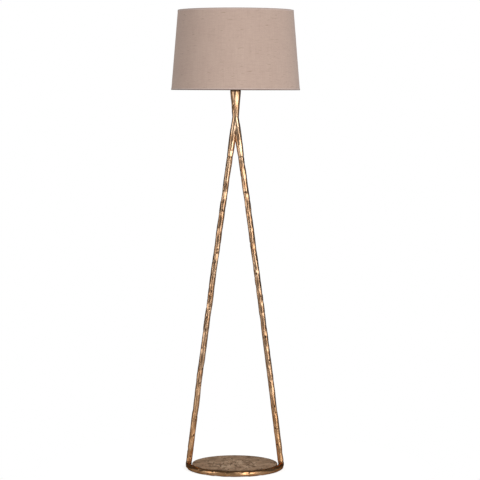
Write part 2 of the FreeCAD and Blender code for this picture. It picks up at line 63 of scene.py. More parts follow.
def addNode(tree, kind, settings=None, links=None):
    node = tree.nodes.new(kind)
    for key, value in (settings or {}).items():
        if key == "stops":
            elements = node.color_ramp.elements
            while len(elements) < len(value):
                elements.new(0.5)
            for element, (position, colour) in zip(elements, value):
                element.position = position
                element.color = toLinear(colour) if isinstance(colour, str) else (colour, colour, colour, 1)
        elif isinstance(key, str) and hasattr(node, key):
            setattr(node, key, value)
        else:
            node.inputs[key].default_value = value
    for key, source in (links or {}).items():
        tree.links.new(source, node.inputs[key])
    return node


def newMaterial(name, settings):
    material = bpy.data.materials.new(name)
    material.use_nodes = True
    tree = material.node_tree
    shader = tree.nodes["Principled BSDF"]
    for key, value in settings.items():
        shader.inputs[key].default_value = value
    place = addNode(tree, "ShaderNodeTexCoord").outputs["Object"]
    return material, tree, shader, place


def smoothStep(low, high, value):
    share = min(max((value - low) / (high - low), 0), 1)
    return share * share * (3 - 2 * share)


def softMin(a, b, blend):
    near = max(blend - abs(a - b), 0) / blend
    return min(a, b) - near * near * blend / 4


def mix(a, b, share):
    return a + (b - a) * share


def addPiece(bm, name, material, body, nodes=()):
    mesh = bpy.data.meshes.new(name)
    bm.to_mesh(mesh)
    bm.free()
    mesh.materials.append(material)
    mesh.shade_smooth()
    piece = bpy.data.objects.new(name, mesh)
    scene.collection.objects.link(piece)
    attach(piece, body)
    if nodes:
        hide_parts(*nodes)
    print("made", name, "with", len(mesh.polygons), "faces")
    return piece


# camera, a little below the shade's lower rim and looking slightly down

view = {"lens": 141.5, "distance": 6.6, "height": 1.315, "side": 0.0165, "pitch": 4.387, "roll": 0.13,
        "clipEnd": 100}

camera = bpy.data.objects.new("camera", bpy.data.cameras.new("camera"))
camera.data.lens = view["lens"]
camera.data.clip_end = view["clipEnd"]
camera.location = (view["side"], -view["distance"], view["height"])
tilt = Matrix.Rotation(math.radians(90 - view["pitch"]), 4, "X")
roll = Matrix.Rotation(math.radians(view["roll"]), 4, "Z")
camera.rotation_euler = (tilt @ roll).to_euler()
scene.collection.objects.link(camera)
scene.camera = camera


# studio: two tall softboxes in front, and a white floor in a white room

studio = {
    "aim": Vector((0, 0, 0.8)),
    "softboxes": {
        "keySoftbox": {"turn": 33, "distance": 3.2, "height": 1.35, "size": (1.6, 3.0), "glow": 4.0},
        "fillSoftbox": {"turn": -58, "distance": 3.2, "height": 1.2, "size": (1.0, 3.0), "glow": 3.0},
    },
    "roomGlow": 0.40, "mirrorGlow": 0.06,
    "floorSize": 30.0, "floorTone": "#c4c4c4", "floorLift": 0.72, "shadowReach": 0.3, "shadowEnd": 0.7,
}


def addSoftbox(name, settings):
    width, tall = settings["size"]
    lamp = bpy.data.lights.new(name, "AREA")
    lamp.shape = "RECTANGLE"
    lamp.size, lamp.size_y = width, tall
    lamp.energy = settings["glow"] * math.pi * width * tall
    box = bpy.data.objects.new(name, lamp)
    angle = math.radians(settings["turn"])
    away = settings["distance"]
    box.location = (away * math.sin(angle), -away * math.cos(angle), settings["height"])
    box.rotation_euler = (box.location - studio["aim"]).to_track_quat("Z", "Y").to_euler()
    scene.collection.objects.link(box)


def lightPath(tree):
    # the ray's kind, and whether the camera looks along it, straight or through glass
    rays = addNode(tree, "ShaderNodeLightPath")
    seen = addNode(tree, "ShaderNodeMath", {"operation": "MAXIMUM"},
                   {0: rays.outputs["Is Transmission Ray"], 1: rays.outputs["Is Camera Ray"]})
    return rays, seen.outputs[0]


def paintRoom():
    # white all round for the camera and through glass, soft grey as light, and dark in reflections
    world = bpy.data.worlds.new("studioRoom")
    world.use_nodes = True
    scene.world = world
    tree = world.node_tree
    rays, seen = lightPath(tree)
    glow = addNode(tree, "ShaderNodeMapRange", {"To Min": studio["roomGlow"], "To Max": 1.0}, {"Value": seen})
    dim = addNode(tree, "ShaderNodeMath",
                  {"operation": "MULTIPLY", 1: studio["roomGlow"] - studio["mirrorGlow"]},
                  {0: rays.outputs["Is Glossy Ray"]})
    strength = addNode(tree, "ShaderNodeMath", {"operation": "SUBTRACT"},
                       {0: glow.outputs["Result"], 1: dim.outputs[0]})
    tree.links.new(strength.outputs[0], tree.nodes["Background"].inputs["Strength"])
    tree.nodes["Background"].inputs["Color"].default_value = (1, 1, 1, 1)


def makeFloor():
    bm = bmesh.new()
    bmesh.ops.create_grid(bm, x_segments=1, y_segments=1, size=studio["floorSize"] / 2)
    mesh = bpy.data.meshes.new("studioFloor")
    bm.to_mesh(mesh)
    bm.free()
    floor = bpy.data.objects.new("studioFloor", mesh)
    scene.collection.objects.link(floor)
    # matt white paper, lit from below as well: it takes a pale shadow and fades to plain white further out
    material, tree, shader, place = newMaterial("whitePaperFloor", {
        "Base Color": toLinear(studio["floorTone"]), "Roughness": 1.0, "Specular IOR Level": 0.0,
        "Emission Color": (1, 1, 1, 1)})
    rays, seen = lightPath(tree)
    lift = addNode(tree, "ShaderNodeMath", {"operation": "MULTIPLY", 1: studio["floorLift"]},
                   {0: rays.outputs["Is Camera Ray"]})
    tree.links.new(lift.outputs[0], shader.inputs["Emission Strength"])
    reach = addNode(tree, "ShaderNodeVectorMath", {"operation": "LENGTH"}, {0: place}).outputs["Value"]
    far = addNode(tree, "ShaderNodeMapRange", {
        "From Min": studio["shadowReach"], "From Max": studio["shadowEnd"],
        "interpolation_type": "SMOOTHSTEP"}, {"Value": reach})
    plain = addNode(tree, "ShaderNodeMath", {"operation": "MULTIPLY"}, {0: seen, 1: far.outputs["Result"]})
    white = addNode(tree, "ShaderNodeEmission", {"Color": (1, 1, 1, 1), "Strength": 1.0})
    blend = addNode(tree, "ShaderNodeMixShader", {},
                    {0: plain.outputs[0], 1: shader.outputs[0], 2: white.outputs[0]})
    # its underside is clear, so the lamp can be looked at from below
    side = addNode(tree, "ShaderNodeNewGeometry").outputs["Backfacing"]
    clear = addNode(tree, "ShaderNodeBsdfTransparent")
    paper = addNode(tree, "ShaderNodeMixShader", {}, {0: side, 1: blend.outputs[0], 2: clear.outputs[0]})
    tree.links.new(paper.outputs[0], tree.nodes["Material Output"].inputs["Surface"])
    mesh.materials.append(material)


for softbox, settings in studio["softboxes"].items():
    addSoftbox(softbox, settings)
paintRoom()
makeFloor()
print("studio set")


# materials

def antiqueBrass():
    # forged iron with rubbed antique brass leaf: gold on the high spots, brown patina in every dent
    # the tone by height is painted shade: darker from low on the legs to past their middle, full at the top
    # and a little lighter by the feet, for light that falls from above; its stops are at shares of a height
    # in metres
    look = {"bright": "#f4d0ac", "mid": "#d2a37a", "dark": "#2e1a0e", "olive": "#8a7450", "edge": "#74492c",
            "blotch": 38, "grain": 2.2, "pit": 5.0, "pitDark": 0.55, "heightShadeTop": 1.6,
            "heightShade": [(0.094, "#fcecd8"), (0.219, "#e0dad6"), (0.594, "#e0dad6"), (0.765, "#ffffff")]}
    material, tree, shader, place = newMaterial("antiqueBrassOnForgedIron", {
        "Metallic": 1.0, "Specular Tint": toLinear(look["edge"])})
    patina = addNode(tree, "ShaderNodeAttribute", {"attribute_name": "patina"}).outputs["Fac"]
    blotch = addNode(tree, "ShaderNodeTexNoise",
                     {"Scale": perSize(look["blotch"]), "Detail": 4.0, "Roughness": 0.6},
                     {"Vector": place}).outputs["Fac"]
    grain = addNode(tree, "ShaderNodeTexNoise", {"Scale": perSize(look["grain"]), "Detail": 3.0},
                    {"Vector": place}).outputs["Fac"]
    pit = addNode(tree, "ShaderNodeTexVoronoi", {"Scale": perSize(look["pit"]), "Randomness": 1.0},
                  {"Vector": place}).outputs["Distance"]
    gold = addNode(tree, "ShaderNodeValToRGB", {"stops": [(0.3, look["mid"]), (0.62, look["bright"])]},
                   {"Fac": blotch})
    oliveShare = addNode(tree, "ShaderNodeValToRGB", {"stops": [(0.52, 0.0), (0.75, 0.4)]}, {"Fac": grain})
    aged = addNode(tree, "ShaderNodeMixRGB", {"Color2": toLinear(look["olive"])},
                   {"Fac": oliveShare.outputs["Color"], "Color1": gold.outputs["Color"]})
    smallPit = addNode(tree, "ShaderNodeMapRange",
                       {"From Min": 0.05, "From Max": 0.2, "To Min": look["pitDark"], "To Max": 0.0},
                       {"Value": pit})
    pitNoise = addNode(tree, "ShaderNodeMath", {"operation": "MULTIPLY"},
                       {0: smallPit.outputs["Result"], 1: blotch})
    brown = addNode(tree, "ShaderNodeMath", {"operation": "ADD", "use_clamp": True},
                    {0: patina, 1: pitNoise.outputs[0]})
    colour = addNode(tree, "ShaderNodeMixRGB", {"Color2": toLinear(look["dark"])},
                     {"Fac": brown.outputs[0], "Color1": aged.outputs["Color"]})
    # painted shade: the colour is multiplied by a tone that changes with height
    height = addNode(tree, "ShaderNodeSeparateXYZ", {}, {"Vector": place}).outputs["Z"]
    rise = addNode(tree, "ShaderNodeMapRange", {"From Max": look["heightShadeTop"]}, {"Value": height})
    heightShade = addNode(tree, "ShaderNodeValToRGB", {"stops": look["heightShade"]}, {"Fac": rise.outputs["Result"]})
    toned = addNode(tree, "ShaderNodeMixRGB", {"blend_type": "MULTIPLY", "Fac": 1.0},
                    {"Color1": colour.outputs["Color"], "Color2": heightShade.outputs["Color"]})
    tree.links.new(toned.outputs["Color"], shader.inputs["Base Color"])
    rough = addNode(tree, "ShaderNodeMapRange", {"To Min": 0.33, "To Max": 0.62}, {"Value": brown.outputs[0]})
    tree.links.new(rough.outputs["Result"], shader.inputs["Roughness"])
    bump = addNode(tree, "ShaderNodeBump", {"Strength": 0.5, "Distance": 0.25 * mm}, {"Height": grain})
    dent = addNode(tree, "ShaderNodeBump", {"Strength": 0.6, "Distance": 0.5 * mm, "invert": True},
                   {"Height": smallPit.outputs["Result"], "Normal": bump.outputs["Normal"]})
    tree.links.new(dent.outputs["Normal"], shader.inputs["Normal"])
    return material


def bronzePlate():
    # iron disc with a dull bronze coat over a rough hammered face: flat sheen, lighter on the bumps
    look = {"bump": "#f6d6b6", "mid": "#d0ac8c", "pit": "#533828", "edge": "#a09080",
            "speck": 9.0, "grain": 1.6}
    material, tree, shader, place = newMaterial("bronzeOnHammeredIron", {
        "Metallic": 0.4, "Specular Tint": toLinear(look["edge"])})
    relief = addNode(tree, "ShaderNodeAttribute", {"attribute_name": "patina"}).outputs["Fac"]
    grain = addNode(tree, "ShaderNodeTexNoise", {"Scale": perSize(look["grain"]), "Detail": 3.0},
                    {"Vector": place}).outputs["Fac"]
    speck = addNode(tree, "ShaderNodeTexNoise",
                    {"Scale": perSize(look["speck"]), "Detail": 2.0, "Distortion": 0.6},
                    {"Vector": place}).outputs["Fac"]
    base = addNode(tree, "ShaderNodeValToRGB",
                   {"stops": [(0.0, look["bump"]), (0.35, look["mid"]), (0.85, look["pit"])]},
                   {"Fac": relief})
    mottled = addNode(tree, "ShaderNodeMixRGB", {"blend_type": "OVERLAY", "Fac": 0.35},
                      {"Color1": base.outputs["Color"], "Color2": speck})
    tree.links.new(mottled.outputs["Color"], shader.inputs["Base Color"])
    rough = addNode(tree, "ShaderNodeMapRange", {"To Min": 0.5, "To Max": 0.7}, {"Value": speck})
    tree.links.new(rough.outputs["Result"], shader.inputs["Roughness"])
    bump = addNode(tree, "ShaderNodeBump", {"Strength": 0.5, "Distance": 0.3 * mm}, {"Height": grain})
    tree.links.new(bump.outputs["Normal"], shader.inputs["Normal"])
    return material


def streaks(tree, place, along, up, distortion):
    # noise drawn out along the threads, with its length and height in millimetres
    stretched = addNode(tree, "ShaderNodeMapping", {"Scale": (perSize(along), perSize(up), 1)},
                        {"Vector": place})
    return addNode(tree, "ShaderNodeTexNoise", {"Scale": 1.0, "Detail": 2.0, "Distortion": distortion},
                   {"Vector": stretched.outputs["Vector"]}).outputs["Fac"]


def wovenLinen(name, tone, slub):
    # linen laminated on a stiff lining: dry and matt, with slubs where the flax thread swells
    # the real threads lie 0.7 mm apart, and are drawn 1.4 mm apart so that they show
    look = {"thread": 1.4, "slubLong": 34, "slubHigh": 3.4, "uprightHigh": 68, "cloud": 60, "edge": "#4e3a30"}
    material, tree, shader, _ = newMaterial(name, {
        "Roughness": 0.92, "Sheen Weight": 0.25, "Sheen Roughness": 0.5, "Specular IOR Level": 0.2})
    place = addNode(tree, "ShaderNodeUVMap", {"uv_map": "weave"}).outputs["UV"]
    parts = addNode(tree, "ShaderNodeSeparateXYZ", {}, {"Vector": place})
    perThread = 2 * math.pi / (look["thread"] * mm)
    waves = []
    for axis in ("X", "Y"):
        turn = addNode(tree, "ShaderNodeMath", {"operation": "MULTIPLY", 1: perThread},
                       {0: parts.outputs[axis]})
        waves.append(addNode(tree, "ShaderNodeMath", {"operation": "SINE"}, {0: turn.outputs[0]}).outputs[0])
    crossing = addNode(tree, "ShaderNodeMath", {"operation": "MULTIPLY"}, {0: waves[0], 1: waves[1]})
    weave = addNode(tree, "ShaderNodeMapRange", {"From Min": -1.0, "From Max": 1.0},
                    {"Value": crossing.outputs[0]}).outputs["Result"]
    slubs = streaks(tree, place, look["slubLong"], look["slubHigh"], 0.2)
    uprights = streaks(tree, place, look["slubHigh"], look["uprightHigh"], 0.0)
    cloud = addNode(tree, "ShaderNodeTexNoise", {"Scale": perSize(look["cloud"]), "Detail": 2.0},
                    {"Vector": place}).outputs["Fac"]
    dark = addNode(tree, "ShaderNodeMapRange", {"From Min": 0.62, "From Max": 0.74, "To Max": 0.8},
                   {"Value": slubs})
    shades = addNode(tree, "ShaderNodeMixRGB", {"Color1": toLinear(tone), "Color2": toLinear(slub)},
                     {"Fac": dark.outputs["Result"]}).outputs["Color"]
    for source, strength in ((weave, 0.10), (uprights, 0.09), (slubs, 0.16), (cloud, 0.05)):
        shades = addNode(tree, "ShaderNodeMixRGB", {"blend_type": "OVERLAY", "Fac": strength},
                         {"Color1": shades, "Color2": source}).outputs["Color"]
    # painted shade: the hem is darker along its rolled edge, at the rim
    edge = addNode(tree, "ShaderNodeAttribute", {"attribute_name": "patina"}).outputs["Fac"]
    shades = addNode(tree, "ShaderNodeMixRGB", {"Color2": toLinear(look["edge"])},
                     {"Fac": edge, "Color1": shades}).outputs["Color"]
    tree.links.new(shades, shader.inputs["Base Color"])
    bump = addNode(tree, "ShaderNodeBump", {"Strength": 0.35, "Distance": 0.2 * mm}, {"Height": weave})
    swell = addNode(tree, "ShaderNodeBump", {"Strength": 0.5, "Distance": 0.4 * mm},
                    {"Height": slubs, "Normal": bump.outputs["Normal"]})
    tree.links.new(swell.outputs["Normal"], shader.inputs["Normal"])
    return material


# finishes of the small parts, by material slot: name, light and dark tone, shader settings, size of the
# pattern in mm, roughness and height of the bump in mm
smallFinishes = {
    # dead matt, with loose fibre
    "felt": ("pressedWoolFelt", "#262422", "#171615", {"Sheen Weight": 0.4, "Specular IOR Level": 0.2},
             1.2, (0.9, 1.0), 0.3),
    # cool grey with a soft, cloudy shine
    "zinc_steel": ("zincPlatedSteel", "#c9ccd0", "#a9adb3", {"Metallic": 1.0}, 3.0, (0.28, 0.45), 0.03),
    # near black, with a dull skin
    "grommet_rubber": ("mouldedRubber", "#1d1c1b", "#131212", {}, 2.0, (0.55, 0.7), 0.05),
    # smooth and even, with a waxy sheen
    "lead_pvc": ("extrudedBrownPvc", "#5d4430", "#4c3624", {}, 4.0, (0.4, 0.5), 0.03),
    "core_pvc": ("extrudedBluePvc", "#35507f", "#2b4370", {}, 4.0, (0.4, 0.5), 0.03),
    # black, with the shine of its mould
    "holder_plastic": ("mouldedBlackPhenolic", "#1a1918", "#100f0f", {}, 5.0, (0.3, 0.42), 0.02),
    # off-white and slightly chalky
    "insert_ceramic": ("pressedSteatite", "#e2dfd5", "#d5d1c5", {}, 1.5, (0.5, 0.65), 0.05),
    # bright yellow metal, slightly dulled
    "contact_brass": ("stampedBrassSheet", "#d8b56c", "#bf9a50", {"Metallic": 1.0}, 4.0, (0.22, 0.38), 0.02),
    # off-white with a fine orange peel
    "frame_wire": ("whitePowderCoatedWire", "#e4e3de", "#d6d5cf", {}, 0.8, (0.42, 0.5), 0.04),
    # warm white with a satin sheen
    "shade_liner": ("satinStyreneSheet", "#efece4", "#e6e2d8", {}, 3.0, (0.45, 0.6), 0.03),
    # pale grey metal, lightly scuffed
    "bulb_shell": ("rolledAluminiumSheet", "#cfd1d4", "#b4b6ba", {"Metallic": 1.0}, 2.5, (0.25, 0.4), 0.02),
    # black and glossy
    "bulb_insulator": ("fusedBlackGlass", "#16161a", "#0d0d10", {"Coat Weight": 0.5},
                       3.0, (0.08, 0.15), 0.01),
    # clear, with sharp highlights
    "bulb_glass": ("blownClearGlass", "#ffffff", "#fbfcfc", {"Transmission Weight": 1.0, "IOR": 1.5},
                   40.0, (0.0, 0.0), 0.0),
    # opaque yellow, like chalk in rubber
    "filament": ("phosphorCoatedFilament", "#f2cf56", "#e0b63c", {"Subsurface Weight": 0.1},
                 0.8, (0.6, 0.75), 0.05),
}
sameFinish = {"bulb_stem_glass": "bulb_glass"}


def plainFinish(name, light, dark, settings, size, roughness, bumpHeight):
    # two close tones, a spread of roughness and a fine bump, all from one pattern of the given size
    material, tree, shader, place = newMaterial(name, settings)
    pattern = addNode(tree, "ShaderNodeTexNoise", {"Scale": perSize(size), "Detail": 4.0},
                      {"Vector": place}).outputs["Fac"]
    tone = addNode(tree, "ShaderNodeValToRGB", {"stops": [(0.35, dark), (0.65, light)]}, {"Fac": pattern})
    tree.links.new(tone.outputs["Color"], shader.inputs["Base Color"])
    rough = addNode(tree, "ShaderNodeMapRange", {"To Min": roughness[0], "To Max": roughness[1]},
                    {"Value": pattern})
    tree.links.new(rough.outputs["Result"], shader.inputs["Roughness"])
    bump = addNode(tree, "ShaderNodeBump", {"Strength": 0.4, "Distance": bumpHeight * mm},
                   {"Height": pattern})
    tree.links.new(bump.outputs["Normal"], shader.inputs["Normal"])
    return material


def finishSmallParts():
    finishes = {slot: plainFinish(*values) for slot, values in smallFinishes.items()}
    for part in frame["record"]["subparts"]:
        slotName = sameFinish.get(part["material_slot"], part["material_slot"])
        if slotName in finishes:
            for slot in frame["nodes"][part["node"]].material_slots:
                slot.material = finishes[slotName]


brassFinish = antiqueBrass()
plateFinish = bronzePlate()
linenFinish = wovenLinen("wovenTaupeLinen", "#c6ad9f", "#987f70")
# painted highlight: the hem's linen is a lighter copy of the cover's, for the light on its roll
litHemLinen = wovenLinen("rolledLinenHemLit", "#d0bab0", "#aa9488")
finishSmallParts()
print("materials ready")


# forged rods: every rod is a grid wrapped round its route, dented by long flats and small notches

rods = {
    "radius": 10.2 * mm, "bore": 6.75 * mm,
    "hoopRadius": 163.5 * mm, "hoopHeight": 10.5 * mm, "elbow": 11.0 * mm,
    "forkHeight": 1241.0 * mm, "stubLength": 141.0 * mm, "stubBow": 0.75 * mm, "legBow": 2.5 * mm,
    "sides": 44, "step": 2.0 * mm, "routeParts": 120, "elbowParts": 12, "liningEvery": 12,
    "wander": 1.5 * mm, "wanderLength": 90 * mm, "wanderCalm": 6,
    "full": 1.03, "swell": 0.05, "swellSize": 32 * mm, "ripple": 0.014, "rippleSize": 7 * mm,
    "endFade": 7 * mm, "endShare": 0.985, "endReach": 30 * mm, "beadAt": 4 * mm, "beadWide": 2 * mm,
    "joint": (0.6 * mm, 3 * mm), "highJointDark": 0.5, "lowJointDark": 0.9, "lowest": 0.1 * mm,
}

# blows of the hammer: a flat deepens along its length, drifts round the rod and ends in a step, and a
# notch has a raised rim; angles in radians, depths as shares of the radius, lengths in mm where mm follows
blow = {
    "every": 10.5 * mm, "spacing": (0.7, 1.3), "short": 28 * mm, "long": 80 * mm, "shift": 4,
    "turnStep": 2.4, "turnSpread": 0.5, "drift": 1.3, "shallow": 0.035, "deep": 0.115, "edgeBlend": 0.045,
    "reach": 1.2, "deepened": 0.6, "stepFrom": 0.95, "darkFrom": 0.9, "stepDark": 0.55,
    "notchSpan": (0.01, 0.99), "notchLong": (2.5, 7), "notchWide": (0.14, 0.3), "notchDeep": (0.05, 0.14),
    "rim": 1.6, "rimHeight": 0.2, "notchDark": 1.25,
}


def evenStations(points, step):
    # places and directions at even distances along a route
    reach = [0.0]
    for a, b in zip(points, points[1:]):
        reach.append(reach[-1] + (b - a).length)
    count = max(2, round(reach[-1] / step))
    stations, part = [], 0
    for i in range(count + 1):
        at = reach[-1] * i / count
        while part < len(points) - 2 and reach[part + 1] < at:
            part += 1
        share = (at - reach[part]) / (reach[part + 1] - reach[part])
        stations.append((at, points[part].lerp(points[part + 1], share)))
    ways = []
    for i in range(len(stations)):
        before, after = stations[max(i - 1, 0)][1], stations[min(i + 1, count)][1]
        ways.append((after - before).normalized())
    return [(at, place, way) for (at, place), way in zip(stations, ways)]


def carriedFrames(stations, start):
    # turns a starting direction along the route without twist
    frames, face = [], start
    for at, place, way in stations:
        face = (face - way * face.dot(way)).normalized()
        frames.append((at, place, face, way.cross(face)))
    return frames


def routeLength(route):
    return sum((b - a).length for a, b in zip(route, route[1:]))


def hammerFlats(seed, length):
    dice = random.Random(seed)
    flats, at, turn = [], -blow["long"] / 2, dice.uniform(0, 6)
    while at < length:
        turn += blow["turnStep"] + dice.uniform(-blow["turnSpread"], blow["turnSpread"])
        flats.append({"start": at + dice.uniform(-blow["shift"], blow["shift"]) * mm,
                      "length": dice.uniform(blow["short"], blow["long"]), "turn": turn,
                      "depth": dice.uniform(blow["shallow"], blow["deep"]),
                      "flip": dice.random() < 0.5, "drift": dice.uniform(-blow["drift"], blow["drift"])})
        at += blow["every"] * dice.uniform(*blow["spacing"])
    return flats


def hammerNotches(seed, length, count):
    dice = random.Random(seed)
    return [{"at": dice.uniform(*blow["notchSpan"]) * length, "turn": dice.uniform(0, 2 * math.pi),
             "long": dice.uniform(*blow["notchLong"]) * mm, "wide": dice.uniform(*blow["notchWide"]),
             "depth": dice.uniform(*blow["notchDeep"])} for _ in range(count)]


def turnGap(a, b):
    return (a - b + math.pi) % (2 * math.pi) - math.pi


def forgedAt(at, turn, place, flats, notches, swell=1):
    # share of the radius that is left at a point, and how brown it is
    left, dark = rods["full"], 0.0
    for height, size in ((rods["swell"], rods["swellSize"]), (rods["ripple"], rods["rippleSize"])):
        left += swell * height * noise.noise(place / size)
    for flat in flats:
        share = (at - flat["start"]) / flat["length"]
        away = turnGap(turn, flat["turn"] + flat["drift"] * (share - 0.5))
        if not 0 < share < 1 or abs(away) > blow["reach"]:
            continue
        if flat["flip"]:
            share = 1 - share
        weight = smoothStep(0, blow["deepened"], share) * (1 - smoothStep(blow["stepFrom"], 1, share))
        plane = (1 - flat["depth"] * weight) / math.cos(away)
        if plane < left and share > blow["darkFrom"]:
            near = (share - blow["darkFrom"]) / (1 - blow["darkFrom"])
            dark = max(dark, blow["stepDark"] * near * flat["depth"] / blow["deep"])
        left = softMin(left, plane, blow["edgeBlend"])
    for notch in notches:
        along = (at - notch["at"]) / notch["long"]
        if abs(along) > blow["rim"]:
            continue
        reach = math.hypot(along, turnGap(turn, notch["turn"]) / notch["wide"])
        if reach < 1:
            left -= notch["depth"] * (1 - reach * reach)
            dark = max(dark, blow["notchDark"] * (1 - reach * reach))
        elif reach < blow["rim"]:
            left += blow["rimHeight"] * notch["depth"] * math.sin(math.pi * (reach - 1) / (blow["rim"] - 1))
    return left, min(dark, 1)


def wrapGrid(frames, sides, pointAt):
    # a grid whose width goes round the route and whose length goes along it
    bm = bmesh.new()
    patina = bm.verts.layers.float.new("patina")
    steps = len(frames) - 1
    bmesh.ops.create_grid(bm, x_segments=sides, y_segments=steps, size=0.5)
    for vert in bm.verts:
        row = round((vert.co.y + 0.5) * steps)
        column = round((vert.co.x + 0.5) * sides) % sides
        vert.co, vert[patina] = pointAt(frames[row], 2 * math.pi * column / sides)
    bmesh.ops.remove_doubles(bm, verts=bm.verts, dist=0.001 * mm)
    return bm


def lineBore(bm, frames):
    # the wall of the bore, joined to the rod at both ends
    def wallAt(station, turn):
        _, place, face, side = station
        return place + (face * math.cos(turn) + side * math.sin(turn)) * rods["bore"], 1.0

    chosen = frames[::rods["liningEvery"]]
    if (len(frames) - 1) % rods["liningEvery"]:
        chosen.append(frames[-1])
    lining = wrapGrid(chosen, rods["sides"], wallAt)
    shell = bpy.data.meshes.new("lining")
    lining.to_mesh(shell)
    lining.free()
    bm.from_mesh(shell)
    bpy.data.meshes.remove(shell)
    for end in (frames[0][1], frames[-1][1]):
        bmesh.ops.bridge_loops(bm, edges=[e for e in bm.edges if e.is_boundary
                                          and (e.verts[0].co - end).length < rods["endReach"]])


def forgeRod(route, flats, notches, bored, bead=0.0, gapShade=0.0):
    frames = carriedFrames(evenStations(route, rods["step"]), front)
    length = frames[-1][0]

    def pointAt(station, turn):
        at, place, face, side = station
        outward = face * math.cos(turn) + side * math.sin(turn)
        left, dark = forgedAt(at, turn, place + outward * rods["radius"], flats, notches)
        edge = min(at, length - at)
        fade = smoothStep(0, rods["endFade"], edge)
        left = mix(rods["endShare"], left, fade)
        left += bead * math.exp(-((edge - rods["beadAt"]) / rods["beadWide"]) ** 2)
        jointDark = rods["highJointDark"] if place.z > 1 else rods["lowJointDark"]
        dark = max(dark * fade, jointDark * (1 - smoothStep(*rods["joint"], edge)))
        # painted shade in the gap between the hoop and the plate
        if gapShade:
            dark = max(dark, gapShade * gapShadeAt(place, outward))
        spot = place + outward * (rods["radius"] * left)
        spot.z = max(spot.z, rods["lowest"])
        return spot, min(dark, 1)

    bm = wrapGrid(frames, rods["sides"], pointAt)
    if bored:
        lineBore(bm, frames)
    else:
        bmesh.ops.holes_fill(bm, edges=[e for e in bm.edges if e.is_boundary], sides=0)
    bmesh.ops.recalc_face_normals(bm, faces=bm.faces)
    return bm


def footCorner():
    turn = math.atan(rods["elbow"] / rods["hoopRadius"])
    corner = Vector((rods["hoopRadius"] / math.cos(turn), 0, rods["hoopHeight"]))
    start = Vector((rods["hoopRadius"] * math.cos(turn), -rods["hoopRadius"] * math.sin(turn),
                    rods["hoopHeight"]))
    return corner, start


def legTop():
    corner, _ = footCorner()
    share = rods["stubLength"] / (rods["forkHeight"] - rods["hoopHeight"])
    return Vector((corner.x * share + rods["stubBow"], 0, rods["forkHeight"] - rods["stubLength"]))


# legs: the notches that show in front are given as height in mm and degrees from the front, to the right
# where positive; each ends a flat, and their sizes vary from one to the next

legs = {
    "notches": 42,
    "leftFront": [(1089, -60), (1004, 10), (913, 0), (854, -14), (764, 4), (690, -40), (611, -25),
                  (513, -30), (353, 40), (302, 23), (171, 28), (116, 30)],
    "rightFront": [(1090, 58), (1053, -49), (976, 0), (692, -6), (609, 17), (467, 2), (307, -30),
                   (221, 17), (143, -35), (85, -32)],
    "long": 4, "wide": 0.26, "widen": 0.04, "deep": 0.13, "deepen": 0.02,
    "flatLong": 52, "flatLengthen": 7, "flatDeep": 0.10, "flatDrift": 0.9,
}


def legRoute(side, seed):
    # from the foot up, with a slight bow outwards and a hand-made wander
    corner, _ = footCorner()
    chord = legTop() - corner
    outward = Vector((chord.z, 0, -chord.x)).normalized()
    foot = rods["elbow"] / chord.length
    points = []
    for i in range(rods["routeParts"] + 1):
        share = mix(foot, 1, i / rods["routeParts"])
        calm = min(1, rods["wanderCalm"] * min(share - foot, 1 - share))
        along = share * chord.length / rods["wanderLength"]
        sway, nod = noise.noise(Vector((along, seed, 0))), noise.noise(Vector((along, seed, 9)))
        bow = 4 * rods["legBow"] * share * (1 - share)
        point = corner + chord * share + outward * (bow + rods["wander"] * sway * calm)
        point.y += rods["wander"] * nod * calm
        point.x *= side
        points.append(point)
    return points


def frontNotches(pairs, route):
    foot, top = route[0].z, route[-1].z
    length = routeLength(route)
    notches, flats = [], []
    for i, (height, degrees) in enumerate(pairs):
        at = (height * mm - foot) / (top - foot) * length
        turn = math.radians(degrees)
        reach = (legs["flatLong"] + legs["flatLengthen"] * (i % 4)) * mm
        notches.append({"at": at, "turn": turn, "long": (legs["long"] + i % 3) * mm,
                        "wide": legs["wide"] + legs["widen"] * (i % 2),
                        "depth": legs["deep"] + legs["deepen"] * (i % 3)})
        flats.append({"start": at - reach, "length": reach, "turn": turn, "depth": legs["flatDeep"],
                      "flip": False, "drift": legs["flatDrift"] * (-1) ** i})
    return notches, flats


def makeLeg(name, node, side, pairs, seed):
    route = legRoute(side, seed)
    length = routeLength(route)
    notches, flats = frontNotches(pairs, route)
    bm = forgeRod(route, flats + hammerFlats(seed, length),
                  notches + hammerNotches(seed + 1, length, legs["notches"]), True)
    return addPiece(bm, name, brassFinish, "stand", [node])


makeLeg("forgedLeftLeg", "left_leg", -1, legs["leftFront"], 11)
makeLeg("forgedRightLeg", "right_leg", 1, legs["rightFront"], 23)


# hoop: from one bent foot round the front of the plate to the other

# the hoop's dark side towards the plate is painted shade
hoop = {"flatSeed": 31, "notchSeed": 32, "notches": 24, "bead": 0.05, "gapShade": 0.66,
        "gapShadeSide": (0.55, 0.97), "gapShadeInside": (0.5, 0.95), "gapShadeLift": 0.6, "gapShadeFront": 0.5}


def hoopRoute():
    corner, start = footCorner()
    foot = corner + (legTop() - corner).normalized() * rods["elbow"]
    shares = [i / rods["elbowParts"] for i in range(rods["elbowParts"] + 1)]
    bend = [foot.lerp(corner, share).lerp(corner.lerp(start, share), share) for share in shares]
    sweep = math.pi - 2 * math.atan2(-start.y, start.x)
    arc = [Matrix.Rotation(-sweep * i / rods["routeParts"], 3, "Z") @ start
           for i in range(rods["routeParts"] + 1)]
    left = [Vector((-p.x, p.y, p.z)) for p in bend[::-1]]
    return (bend[:-1] + arc + left[1:])[::-1]


